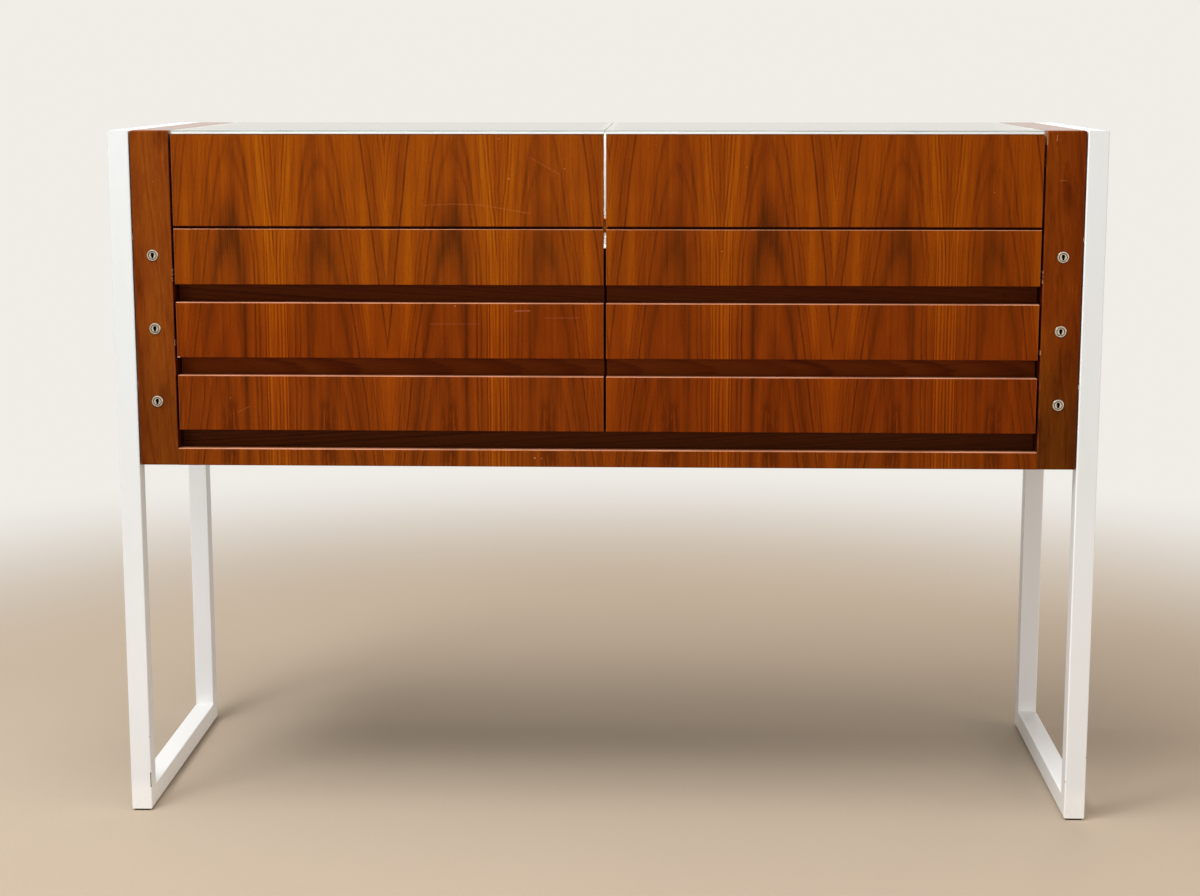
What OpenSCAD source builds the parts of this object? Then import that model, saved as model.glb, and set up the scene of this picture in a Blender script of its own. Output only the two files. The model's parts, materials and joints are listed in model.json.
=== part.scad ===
// Jewelry display cabinet: a glass-topped walnut case with six locking drawers,
// held between two loop frames of white square tube.
// The origin is on the floor under the middle of the whole, +Z up, drawer side at -Y.

/* [Overall size] */
// Width over the two tube frames
overall_w = 1500; // [1300:10:1800]
// Depth of the frames and the case
overall_d = 510; // [460:5:600]
// Height from the floor to the top of the frames
overall_h = 1068; // [900:4:1200]

/* [Tube frames] */
// Side of the square tube
tube = 32; // [29:1:38]
// Wall of the tube
tube_wall = 2; // [1.5:0.1:3]
// Outer corner radius of the tube
tube_corner = 2; // [1:0.1:3]
// Gap between a frame and the case, filled by the spacer washers
frame_gap = 1.5; // [1:0.1:3]
// Side of a floor pad
pad_size = 26; // [20:1:28]
// Thickness of a floor pad
pad_t = 3; // [2:0.5:6]
// Corner radius of a floor pad
pad_corner = 3; // [1:0.5:6]

/* [Case] */
// Width of a hollow side, which is also the width of its stile
side_w = 59; // [56:1:66]
// Thickness of the stiles, the base rail and the drawer boards
front_t = 22; // [20:1:24]
// Thickness of the outer side panels
outer_t = 12; // [10:1:14]
// Thickness of the inner side panels
inner_t = 15; // [12:1:17]
// Thickness of the strip that closes a hollow side on top
cap_t = 12; // [8:1:16]
// Thickness of the bottom panel
bottom_t = 18; // [15:1:22]
// Thickness of the back panel
back_t = 12; // [9:1:18]
// Thickness of the centre partition
partition_t = 18; // [15:1:22]
// Depth of the notch that lets light fall behind the fascias, in front of the partition
light_notch = 70; // [20:5:120]
// Height of the base rail
base_rail_h = 26; // [24:1:40]
// Height of the rail that holds the fascias
fascia_rail_h = 21; // [18:1:26]
// Easing of the wooden edges
edge = 1; // [0.5:0.1:1.5]
// Easing of the stiles, whose ends show
stile_edge = 2; // [0.5:0.1:3]
// Rounding of the stiles' top corners, seen from the front
stile_corner = 3; // [1:0.5:5]
// Glue line or seat between two pieces of one sub-assembly
seat_gap = 0.1; // [0.05:0.05:0.3]

/* [Glass top] */
// Thickness of the glass
glass_t = 5; // [4:1:8]
// Gap round each pane
glass_gap = 1; // [0.5:0.1:2]
// Width and height of the ledges under the glass
ledge = 12; // [8:1:16]

/* [Front] */
// Height of the fixed fascias in the top row
fascia_h = 138.5; // [110:0.5:160]
// Gap between a fascia and the drawer board under it
row_gap = 4; // [2:0.5:6]
// Height of a drawer board
board_h = 84.5; // [80:0.5:110]
// Height of the finger recess between two drawer boards
recess_h = 27.5; // [20:0.5:35]
// Height of the finger recess over the base rail
base_recess_h = 29; // [20:0.5:40]
// Depth of the finger recesses behind the front
recess_d = 40; // [38:1:60]
// Gap between the fronts and a stile
stile_gap = 3.5; // [2:0.5:5]
// Gap between the left and the right fronts
centre_gap = 4; // [2:0.5:6]

/* [Drawer boxes] */
// Thickness of the box fronts and of the fixed recess rail
strip_t = 15; // [12:1:18]
// Distance from the top of an upper drawer board down to its box
tray_drop = 32.5; // [28:0.5:36]
// Thickness of the box sides and backs
box_side_t = 12; // [9:1:15]
// Thickness of the drawer bottoms
box_bottom_t = 6; // [4:1:8]
// Height of a drawer bottom above the lower edge of its box
bottom_lift = 8; // [6:1:12]
// Depth of the groove that holds a drawer bottom
groove_d = 5; // [3:0.5:7]
// Clearance of a drawer bottom in its groove
groove_play = 0.2; // [0.1:0.1:0.5]
// Height that a box stays clear of the board line over and under it
box_gap = 1.5; // [1:0.5:2.5]
// Clearance between a drawer board and what stands behind it
board_play = 1; // [0.5:0.5:2]
// Clearance between a box front and the centre partition behind it
partition_gap = 2; // [1:0.5:4]
// Space between a closed drawer box and the back panel
rear_gap = 28; // [20:1:40]
// Width of a block between a board and its box front
block_w = 60; // [40:1:80]
// Height of a block
block_h = 22; // [16:1:26]
// Distance from the end of a box front to its first block
block_inset = 50; // [40:1:90]
// Number of blocks behind a board
block_count = 3; // [2:1:4]

/* [Runners] */
// Space between a box side and the case, which a runner fills
runner_w = 12.7; // [12.5:0.1:14]
// Height of a runner
runner_h = 27; // [24:1:30]
// Sheet thickness of a runner
runner_wall = 1.2; // [1:0.1:1.6]
// Clearance between the two channels of a runner
runner_play = 0.3; // [0.2:0.1:0.5]
// Clearance between the lips of one channel and the web of the other
runner_tip_gap = 2; // [1:0.1:3]
// Height of a runner's middle above the lower edge of its box
runner_rise = 16; // [15:0.5:18]
// Distance from each end of the box side to the end of its runner
runner_inset = 5; // [2:1:20]

/* [Locks] */
// Diameter of a lock's rosette
rosette_d = 18; // [17:0.1:22]
// Height of the rosette over the stile
rosette_t = 1.6; // [1.2:0.1:2.5]
// Diameter of the barrel
barrel_d = 16; // [14:0.1:16.5]
// Length of the barrel behind its nut
barrel_tail = 2; // [1:0.1:4]
// Diameter of the turning plug
plug_d = 11; // [10:0.1:12]
// Width of the groove between plug and rosette
plug_groove = 0.8; // [0.5:0.1:1]
// Running clearance round the plug
plug_play = 0.05; // [0.03:0.01:0.1]
// Width of the cam
cam_w = 12; // [10:0.5:14]
// Thickness of the cam
cam_t = 2.5; // [2:0.1:3]
// Gap between the barrel and the cam
cam_play = 0.3; // [0.2:0.1:0.5]
// Height of the cam screw's head
screw_head_t = 2; // [1.5:0.1:3]
// Reach of the cam past the inner side panel when it is locked
cam_reach = 10.5; // [8:0.1:11]
// Height of a lock above the middle of its drawer board
lock_rise = 2; // [0:0.5:4]
// Diameter of the round part of a keyhole
key_eye_d = 5.2; // [3.5:0.1:6]
// Width of its straight part
key_w = 3.2; // [1.5:0.1:3.5]
// Height of the keyhole
key_h = 8.8; // [7:0.1:9]
// Depth of the keyhole
key_depth = 12; // [8:0.5:16]
// Diameter of the pin that the hollow key turns on
key_pin_d = 1.2; // [0.8:0.1:1.6]
// Thickness of the lock nut
nut_t = 4; // [3:0.5:5]
// Width of the lock nut across its flats
nut_flats = 19; // [18:0.5:22]

/* [Frame bolts] */
// Diameter of the bolts between frame and case
bolt_d = 6; // [5:0.5:8]
// Diameter of their heads
bolt_head_d = 10; // [9:0.5:12]
// Height of their heads
bolt_head_h = 5; // [4:0.5:7]
// Clearance round a bolt
bolt_play = 0.3; // [0.2:0.1:0.5]
// Depth of the counterbore in a stile
counterbore = 8; // [6:0.5:12]
// Diameter of a spacer washer
spacer_d = 14; // [12:0.5:18]
// Height of a bolt above the lock beside it
bolt_rise = 26; // [22:0.5:30]
// Distance of the rear bolts from the back panel
rear_bolt_inset = 9; // [8:0.5:10]
// Width of the weld nuts across their flats
weld_nut_flats = 10; // [9:0.5:13]
// Thickness of the weld nuts
weld_nut_t = 5; // [4:0.5:6]
// Length of bolt that stands out of a weld nut
bolt_tail = 4; // [1:0.5:8]

/* [Hidden] */
ROWS = ["upper", "middle", "lower"];
SIDES = ["left", "right"];
PIECES = ["front", "box", "bottom", "runners", "lock"];

$fn = 64;
// Flats that stand for each rounded edge
edge_steps = 3;
// Extra length of a cut beyond the face it opens
over = 1;
walnut = [0.50, 0.26, 0.10];
dark_walnut = [0.22, 0.11, 0.05];
white = [0.93, 0.93, 0.91];
birch = [0.80, 0.68, 0.50];
steel = [0.70, 0.71, 0.72];
nickel = [0.60, 0.58, 0.53];
glass_tint = [0.80, 0.92, 0.89, 0.4];

// Faces of the case, seen from the front on its right half
front_y = (rosette_t - overall_d) / 2;
back_y = front_y + overall_d;
frame_x = overall_w / 2 - tube;
side_x = frame_x - frame_gap;
inner_x = side_x - side_w;
half_partition = partition_t / 2;
board_back_y = front_y + front_t;
fascia_t = front_t + board_play;
fascia_back_y = front_y + fascia_t;
strip_y = front_y + recess_d;
box_y = strip_y + strip_t;
partition_y = box_y + partition_gap;
panel_y = back_y - back_t;
box_back_y = panel_y - rear_gap;
hollow_x = side_x - outer_t;

// Levels of the front, from the top down
top_z = overall_h;
cap_z = top_z - cap_t;
glass_z = top_z - glass_t;
fascia_z = glass_z - fascia_h;
row_pitch = board_h + recess_h;
last_row = len(ROWS) - 1;
function board_z(row) = fascia_z - row_gap - board_h - row * row_pitch;
base_z = board_z(last_row) - base_recess_h - base_rail_h;
floor_z = base_z + bottom_t;
function box_z(row) = board_z(row) + box_gap;
function box_top_z(row) =
  row == 0 ? board_z(0) + board_h - tray_drop : board_z(row - 1) - box_gap;
function lock_z(row) = board_z(row) + board_h / 2 + lock_rise;
function runner_z(row) = box_z(row) + runner_rise;

// Locks, in the middle of the stiles
lock_x = inner_x + side_w / 2;
cam_len = side_w / 2 + cam_reach;
barrel_len = front_t + nut_t + barrel_tail;
cam_y = front_y + barrel_len + cam_play;
cam_sweep = sqrt(pow(cam_len, 2) - pow(side_w / 2 - inner_t, 2));

// Runners
runner_depth = runner_w - runner_wall - runner_tip_gap;
runner_y = box_y + runner_inset;
runner_len = box_back_y - runner_inset - runner_y;

// Bolts, two levels on each leg
bolt_levels = [lock_z(0) + bolt_rise, lock_z(last_row) + bolt_rise];
front_bolt_y = front_y + front_t / 2;
rear_bolt_y = panel_y - rear_bolt_inset;

// Points on a quarter circle about the given centre
function quarter(cx, cy, r, start) = [
  for (i = [0:edge_steps])
    let (a = start + 90 * i / edge_steps)
      [cx + r * cos(a), cy + r * sin(a)]
];

// Rectangle from the origin with its four corners rounded
function rounded(w, h, r) = concat(
  quarter(r, r, r, 180),
  quarter(w - r, r, r, 270),
  quarter(w - r, h - r, r, 0),
  quarter(r, h - r, r, 90)
);

// Extrudes an outline drawn in Y and Z along +X
module along_x(length) {
  rotate([90, 0, 90]) linear_extrude(length) children();
}

// Extrudes an outline drawn in X and Z along +Y
module along_y(length) {
  translate([0, length, 0]) rotate([90, 0, 0]) linear_extrude(length) children();
}

// Cylinder along +X
module rod_x(d, length) {
  rotate([0, 90, 0]) cylinder(d = d, h = length);
}

// Cylinder along +Y
module rod_y(d, length) {
  rotate([-90, 0, 0]) cylinder(d = d, h = length);
}

// Board with eased edges, its faces at the given places
module eased_board(x, y, z, size, ease = edge) {
  translate([x, y, z]) intersection() {
    linear_extrude(size[2]) polygon(rounded(size[0], size[1], ease));
    along_x(size[0]) polygon(rounded(size[1], size[2], ease));
  }
}

// Draws the children, which belong to the right half, on the given side
module on_side(side) {
  if (side == "left") mirror([1, 0, 0]) children();
  else children();
}

// Draws the children once at each side of the cabinet
module both_sides() {
  for (side = SIDES) on_side(side) children();
}

// Draws the children at the outer end of a drawer and mirrored at its centre end
module both_ends() {
  children();
  translate([inner_x + half_partition, 0, 0]) mirror([1, 0, 0]) children();
}

// Tube section, drawn from the origin
module tube_section() {
  hollow_w = tube - 2 * tube_wall;
  hollow_corner = max(tube_corner - tube_wall, 0.5);
  difference() {
    polygon(rounded(tube, tube, tube_corner));
    translate([tube_wall, tube_wall]) polygon(rounded(hollow_w, hollow_w, hollow_corner));
  }
}

// Cuts the ends of a frame tube to their mitres, which are drawn in Y and Z
module mitred(outline) {
  intersection() {
    children();
    translate([frame_x, 0, 0]) along_x(tube) polygon(outline);
  }
}

// Bore for a bolt through the frame, the case or both
module bolt_bores(bolt_y, from_x, to_x) {
  for (z = bolt_levels) {
    translate([from_x, bolt_y, z]) rod_x(bolt_d + 2 * bolt_play, to_x - from_x);
  }
}

// Front leg of a loop frame, bored for the case bolts
module front_leg(side) {
  color(white) on_side(side) difference() {
    mitred([
      [front_y, pad_t],
      [front_y + tube, pad_t + tube],
      [front_y + tube, top_z - tube],
      [front_y, top_z]
    ])
      translate([frame_x, front_y, pad_t]) linear_extrude(top_z - pad_t) tube_section();
    bolt_bores(front_bolt_y, frame_x - over, frame_x + tube_wall + over);
  }
}

// Rear leg of a loop frame, bored for the case bolts
module rear_leg(side) {
  color(white) on_side(side) difference() {
    mitred([
      [back_y, pad_t],
      [back_y, top_z],
      [back_y - tube, top_z - tube],
      [back_y - tube, pad_t + tube]
    ])
      translate([frame_x, back_y - tube, pad_t]) linear_extrude(top_z - pad_t) tube_section();
    bolt_bores(rear_bolt_y, frame_x - over, frame_x + tube_wall + over);
  }
}

// Tube along the floor under the case
module sled_rail(side) {
  color(white) on_side(side) mitred([
    [front_y, pad_t],
    [back_y, pad_t],
    [back_y - tube, pad_t + tube],
    [front_y + tube, pad_t + tube]
  ])
    translate([frame_x, front_y, pad_t]) along_y(overall_d) tube_section();
}

// Tube beside the top of the case
module top_rail(side) {
  color(white) on_side(side) mitred([
    [front_y, top_z],
    [front_y + tube, top_z - tube],
    [back_y - tube, top_z - tube],
    [back_y, top_z]
  ])
    translate([frame_x, front_y, top_z - tube]) along_y(overall_d) tube_section();
}

// Pads under the four corners
module floor_pads() {
  inset = (tube - pad_size) / 2;
  color("black") both_sides() for (y = [front_y + inset, back_y - inset - pad_size]) {
    translate([frame_x + inset, y, 0])
      linear_extrude(pad_t) polygon(rounded(pad_size, pad_size, pad_corner));
  }
}

// Hexagonal nut along +X with a plain bore
module nut_x(flats, bore, thickness) {
  difference() {
    rotate([0, 90, 0]) cylinder(d = flats / cos(30), h = thickness, $fn = 6);
    translate([-over, 0, 0]) rod_x(bore, thickness + 2 * over);
  }
}

// One bolt along +X with its spacer washer in the gap and its weld nut inside the tube
module frame_bolt(head_x) {
  nut_x0 = frame_x + tube_wall;
  translate([head_x - bolt_head_h, 0, 0]) difference() {
    rod_x(bolt_head_d, bolt_head_h);
    translate([-over, 0, 0]) rotate([0, 90, 0])
      cylinder(d = bolt_d, h = bolt_head_h / 2 + over, $fn = 6);
  }
  translate([head_x, 0, 0]) rod_x(bolt_d, nut_x0 + weld_nut_t + bolt_tail - head_x);
  translate([side_x, 0, 0]) difference() {
    rod_x(spacer_d, frame_gap);
    translate([-over, 0, 0]) rod_x(bolt_d + 2 * bolt_play, frame_gap + 2 * over);
  }
  translate([nut_x0, 0, 0]) nut_x(weld_nut_flats, bolt_d + 2 * seat_gap, weld_nut_t);
}

// Bolts that hold the case between the frames
module frame_bolts() {
  color(steel) both_sides() for (z = bolt_levels) {
    translate([0, front_bolt_y, z]) frame_bolt(inner_x + counterbore);
    translate([0, rear_bolt_y, z]) frame_bolt(hollow_x);
  }
}

// Front board of a hollow side, with the lock holes and the counterbored bolt holes
module stile(side) {
  stile_h = top_z - base_z;
  color(walnut) on_side(side) difference() {
    intersection() {
      eased_board(inner_x, front_y, base_z, [side_w, front_t, stile_h], stile_edge);
      translate([inner_x, front_y, base_z - stile_corner])
        along_y(front_t) polygon(rounded(side_w, stile_h + stile_corner, stile_corner));
    }
    for (row = [0:last_row]) {
      translate([lock_x, front_y - over, lock_z(row)])
        rod_y(barrel_d + 2 * bolt_play, front_t + 2 * over);
    }
    bolt_bores(front_bolt_y, inner_x - over, side_x + over);
    for (z = bolt_levels) {
      translate([inner_x - over, front_bolt_y, z])
        rod_x(bolt_head_d + 2 * bolt_play, counterbore + over);
    }
  }
}

// Outer panel of a hollow side, against the tube frame
module outer_side(side) {
  color(walnut) on_side(side) difference() {
    translate([hollow_x, board_back_y, base_z])
      cube([outer_t, back_y - board_back_y, cap_z - base_z]);
    bolt_bores(rear_bolt_y, hollow_x - over, side_x + over);
  }
}

// Inner panel of a hollow side, notched at its front edge for the lock cams
module inner_side(side) {
  notch_play = 1.5;
  notch_over = cam_w / 2 + notch_play;
  notch_under = cam_sweep + notch_play;
  notch_l = cam_y + cam_t + notch_play - board_back_y;
  color(dark_walnut) on_side(side) difference() {
    translate([inner_x, board_back_y, floor_z])
      cube([inner_t, panel_y - board_back_y, cap_z - floor_z]);
    for (row = [0:last_row]) {
      translate([inner_x - over, board_back_y - over, lock_z(row) - notch_under])
        cube([inner_t + 2 * over, notch_l + over, notch_over + notch_under]);
    }
  }
}

// Strips that close the hollow sides beside the glass
module side_caps() {
  color(walnut) both_sides() {
    translate([inner_x, board_back_y, cap_z]) cube([side_w, back_y - board_back_y, cap_t]);
  }
}

// Visible rail under the lowest finger recess
module base_rail() {
  color(walnut) eased_board(-inner_x, front_y, base_z, [2 * inner_x, front_t, base_rail_h]);
}

// Fixed board at the back of the lowest finger recess
module recess_rail() {
  rail_top = board_z(last_row) - box_gap;
  color(dark_walnut) translate([-inner_x, strip_y, floor_z])
    cube([2 * inner_x, strip_t, rail_top - floor_z]);
}

// Bottom of the case, between the outer side panels
module bottom_panel() {
  color(dark_walnut) translate([-hollow_x, board_back_y, base_z])
    cube([2 * hollow_x, panel_y - board_back_y, bottom_t]);
}

// Back of the case, stepped up between the side caps to carry the glass
module back_panel() {
  color(walnut) translate([0, panel_y, 0]) along_y(back_t) polygon([
    [-hollow_x, base_z],
    [hollow_x, base_z],
    [hollow_x, cap_z],
    [inner_x, cap_z],
    [inner_x, glass_z],
    [-inner_x, glass_z],
    [-inner_x, cap_z],
    [-hollow_x, cap_z]
  ]);
}

// White partition between the two columns, under the joint of the panes, with the light notch
module centre_partition() {
  notch_y = partition_y + light_notch;
  notch_z = box_top_z(0);
  color(white) translate([-half_partition, 0, 0]) along_x(partition_t) polygon([
    [partition_y, floor_z],
    [panel_y, floor_z],
    [panel_y, glass_z],
    [notch_y, glass_z],
    [notch_y, notch_z],
    [partition_y, notch_z]
  ]);
}

// Flat rail behind the lower edge of the fascias
module fascia_rail() {
  color(dark_walnut) translate([-inner_x, fascia_back_y, fascia_z - fascia_rail_h / 2])
    cube([2 * inner_x, partition_y - fascia_back_y, fascia_rail_h]);
}

// Fixed panel of the top row
module fascia(side) {
  fascia_w = inner_x - stile_gap - centre_gap / 2;
  color(walnut) on_side(side)
    eased_board(centre_gap / 2, front_y, fascia_z, [fascia_w, fascia_t, fascia_h]);
}

// Pane of the glass top, from the partition to the side cap
module glass(side) {
  pane_w = inner_x - 2 * glass_gap;
  color(glass_tint) on_side(side)
    eased_board(glass_gap, front_y, glass_z, [pane_w, overall_d, glass_t], edge / 2);
}

// Ledges under the outer edges of the panes
module glass_ledges() {
  color(white) both_sides() {
    translate([inner_x - ledge, fascia_back_y, glass_z - ledge])
      cube([ledge, panel_y - fascia_back_y, ledge]);
  }
}

// Sheet metal channel along +Y, its web at the far end of X
module channel(height) {
  translate([-runner_depth, runner_y, -height / 2]) difference() {
    cube([runner_depth, runner_len, height]);
    translate([-over, -over, runner_wall])
      cube([runner_depth - runner_wall + over, runner_len + 2 * over, height - 2 * runner_wall]);
  }
}

// Fixed channels of all runners, on the inner side panels and the partition
module case_runners() {
  color(steel) both_sides() both_ends() for (row = [0:last_row]) {
    translate([inner_x, 0, runner_z(row)]) channel(runner_h);
  }
}

// Sliding channels of one drawer, inside the fixed ones
module drawer_runners(row, side) {
  color(steel) on_side(side) both_ends() {
    translate([inner_x - runner_w, 0, runner_z(row)]) mirror([1, 0, 0])
      channel(runner_h - 2 * runner_wall - 2 * runner_play);
  }
}

// Drawer board with the blocks that hold it off the box front
module drawer_front(row, side) {
  strip_x = centre_gap / 2;
  strip_w = inner_x - stile_gap - strip_x;
  block_z = row == 0 ? box_top_z(0) - block_h : board_z(row) + (board_h - block_h) / 2;
  block_step = (strip_w - 2 * block_inset - block_w) / (block_count - 1);
  color(walnut) on_side(side) {
    eased_board(strip_x, front_y, board_z(row), [strip_w, front_t, board_h]);
    for (i = [0:block_count - 1]) {
      translate([strip_x + block_inset + i * block_step, board_back_y + seat_gap, block_z])
        cube([block_w, strip_y - board_back_y - seat_gap, block_h]);
    }
  }
}

// Groove for a drawer bottom, open to the inside of the box
module bottom_groove(row) {
  groove_x = half_partition + runner_w + box_side_t - groove_d;
  groove_end = inner_x - runner_w - box_side_t + groove_d;
  translate([groove_x, box_y - groove_d, box_z(row) + bottom_lift])
    cube([groove_end - groove_x, box_back_y + over - box_y + groove_d, box_bottom_t + groove_play]);
}

// Drawer box: box front, two sides and a back
module drawer_box(row, side) {
  box_h = box_top_z(row) - box_z(row);
  back_z = box_z(row) + bottom_lift + box_bottom_t + groove_play;
  back_x = half_partition + runner_w + box_side_t + seat_gap;
  back_w = inner_x - runner_w - box_side_t - seat_gap - back_x;
  color(dark_walnut) on_side(side) {
    difference() {
      translate([centre_gap / 2, strip_y, box_z(row)])
        cube([inner_x - board_play - centre_gap / 2, strip_t, box_h]);
      bottom_groove(row);
    }
    both_ends() difference() {
      translate([inner_x - runner_w - box_side_t, box_y + seat_gap, box_z(row)])
        cube([box_side_t, box_back_y - box_y - seat_gap, box_h]);
      bottom_groove(row);
    }
    translate([back_x, box_back_y - box_side_t, back_z])
      cube([back_w, box_side_t, box_top_z(row) - back_z]);
  }
}

// Drawer bottom, slid into the grooves from behind
module drawer_bottom(row, side) {
  bottom_x = half_partition + runner_w + box_side_t - groove_d + groove_play;
  bottom_end = inner_x - runner_w - box_side_t + groove_d - groove_play;
  bottom_y = box_y - groove_d + groove_play;
  color(birch) on_side(side) translate([bottom_x, bottom_y, box_z(row) + bottom_lift])
    cube([bottom_end - bottom_x, box_back_y - bottom_y, box_bottom_t]);
}

// Rosette and barrel of a lock in one turning, its axis along -Y from the stile's face
module lock_barrel() {
  bore_r = plug_d / 2;
  flange_r = rosette_d / 2;
  groove_r = bore_r + plug_groove;
  rim_h = 0.6;
  bevel = 1;
  lip = 0.3;
  rotate([90, 0, 0]) rotate_extrude() polygon([
    [bore_r, -barrel_len],
    [barrel_d / 2, -barrel_len],
    [barrel_d / 2, 0],
    [flange_r, 0],
    [flange_r, rim_h],
    [flange_r - bevel, rosette_t],
    [groove_r + lip, rosette_t],
    [groove_r, rosette_t - lip],
    [groove_r, 0],
    [bore_r, 0]
  ]);
}

// Barrels and nuts of the six locks
module lock_barrels() {
  color(nickel) both_sides() for (row = [0:last_row]) {
    translate([lock_x, front_y, lock_z(row)]) lock_barrel();
    translate([lock_x, board_back_y, lock_z(row)]) rotate([0, 0, 90])
      nut_x(nut_flats, barrel_d + 2 * plug_play, nut_t);
  }
}

// Keyhole: a round eye over a straight slot, cut along +Y
module keyhole(eye_z) {
  translate([0, -over, eye_z]) rod_y(key_eye_d, key_depth + over);
  translate([-key_w / 2, -over, -key_h / 2]) cube([key_w, key_depth + over, eye_z + key_h / 2]);
}

// Plug of a lock with its keyhole and pin, the cam on its end and the cam's screw
module drawer_lock(row, side) {
  plug_recess = 0.4;
  plug_front = rosette_t - plug_recess;
  eye_z = (key_h - key_eye_d) / 2;
  pin_inset = 1.5;
  screw_d = 8;
  color(nickel) on_side(side) translate([lock_x, 0, lock_z(row)]) {
    translate([0, front_y - plug_front, 0]) {
      difference() {
        rod_y(plug_d - 2 * plug_play, cam_y - seat_gap - front_y + plug_front);
        keyhole(eye_z);
      }
      translate([0, pin_inset, eye_z]) rod_y(key_pin_d, key_depth + over - pin_inset);
    }
    translate([0, cam_y, 0]) {
      rod_y(cam_w, cam_t);
      translate([-cam_w / 2, 0, cam_w / 2 - cam_len]) cube([cam_w, cam_t, cam_len - cam_w / 2]);
      translate([0, 0, cam_w / 2 - cam_len]) rod_y(cam_w, cam_t);
    }
    translate([0, cam_y + cam_t + seat_gap, 0]) rod_y(screw_d, screw_head_t);
  }
}

front_leg("left");  // left_front_leg
rear_leg("left");  // left_rear_leg
sled_rail("left");  // left_sled_rail
top_rail("left");  // left_top_rail
front_leg("right");  // right_front_leg
rear_leg("right");  // right_rear_leg
sled_rail("right");  // right_sled_rail
top_rail("right");  // right_top_rail
floor_pads();
frame_bolts();
stile("left");  // left_stile
stile("right");  // right_stile
outer_side("left");  // left_outer_side
outer_side("right");  // right_outer_side
inner_side("left");  // left_inner_side
inner_side("right");  // right_inner_side
side_caps();
base_rail();
recess_rail();
bottom_panel();
back_panel();
centre_partition();
fascia_rail();
fascia("left");  // left_fascia
fascia("right");  // right_fascia
glass("left");  // left_glass
glass("right");  // right_glass
glass_ledges();
case_runners();
lock_barrels();
for (row = [0:last_row]) for (side = SIDES) {
  drawer = str(ROWS[row], "_", side, "_");
  drawer_front(row, side);
  drawer_box(row, side);
  drawer_bottom(row, side);
  drawer_runners(row, side);
  drawer_lock(row, side);
}
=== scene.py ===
"""Looks of the jewelry display cabinet: finishes, small hardware, linings, light and camera."""
import json
import math

import bmesh
import bpy
from mathutils import Matrix, Vector, noise


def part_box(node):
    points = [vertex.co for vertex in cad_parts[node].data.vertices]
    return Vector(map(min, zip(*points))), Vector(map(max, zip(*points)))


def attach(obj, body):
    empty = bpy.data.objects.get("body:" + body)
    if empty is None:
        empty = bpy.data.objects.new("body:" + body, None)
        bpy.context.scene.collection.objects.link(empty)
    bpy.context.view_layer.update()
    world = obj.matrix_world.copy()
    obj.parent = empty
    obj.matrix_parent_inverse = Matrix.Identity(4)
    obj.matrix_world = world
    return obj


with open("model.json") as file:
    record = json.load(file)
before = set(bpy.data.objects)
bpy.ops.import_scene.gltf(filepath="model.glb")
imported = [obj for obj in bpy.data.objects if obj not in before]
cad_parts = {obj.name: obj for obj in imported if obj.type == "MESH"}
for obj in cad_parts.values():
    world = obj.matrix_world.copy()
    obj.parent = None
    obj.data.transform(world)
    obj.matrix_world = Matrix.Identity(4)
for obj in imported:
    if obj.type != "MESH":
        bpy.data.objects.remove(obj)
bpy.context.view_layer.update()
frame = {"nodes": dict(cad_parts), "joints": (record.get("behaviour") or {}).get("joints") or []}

nodes = frame["nodes"]

ROWS = ("upper", "middle", "lower")
SIDES = ("left", "right")
DRAWERS = [f"{row}_{side}" for row in ROWS for side in SIDES]
PER_MM = 1000

# Camera at the photograph's viewing angle, in metres and degrees, its lens and sensor in millimetres
CAMERA_PLACE = (0.1062, -3.5930, 1.1605)
CAMERA_YAW = -1.947
CAMERA_PITCH = -9.740
CAMERA_ROLL = -0.032
CAMERA_LENS = 66.444
SENSOR_WIDTH = 36.0

# Front face of the stiles, top of the upper drawer boxes, and top and outer end of the glass, in metres
STILE_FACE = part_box("left_stile")[0].y
BOX_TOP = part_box("upper_left_box")[1].z
GLASS_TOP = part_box("left_glass")[1].z
GLASS_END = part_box("right_glass")[1].x

# Axes of the locks, in metres
LOCKS = [joint["pos_m"] for joint in frame["joints"] if joint["type"] == "hinge"]


def linear(red, green, blue):
    """Colour given as 0 to 255 screen values, as the linear colour a shader takes."""
    def one(value):
        share = value / 255
        return share / 12.92 if share <= 0.04045 else ((share + 0.055) / 1.055) ** 2.4
    return (one(red), one(green), one(blue), 1.0)


# Shader building

# Marks: distance before any line is met, squared length given to a dot, and full-strength share of a mark
FAR_AWAY = 1000.0
DOT_SQUARE = 0.01
MARK_CORE = 0.3


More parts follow.
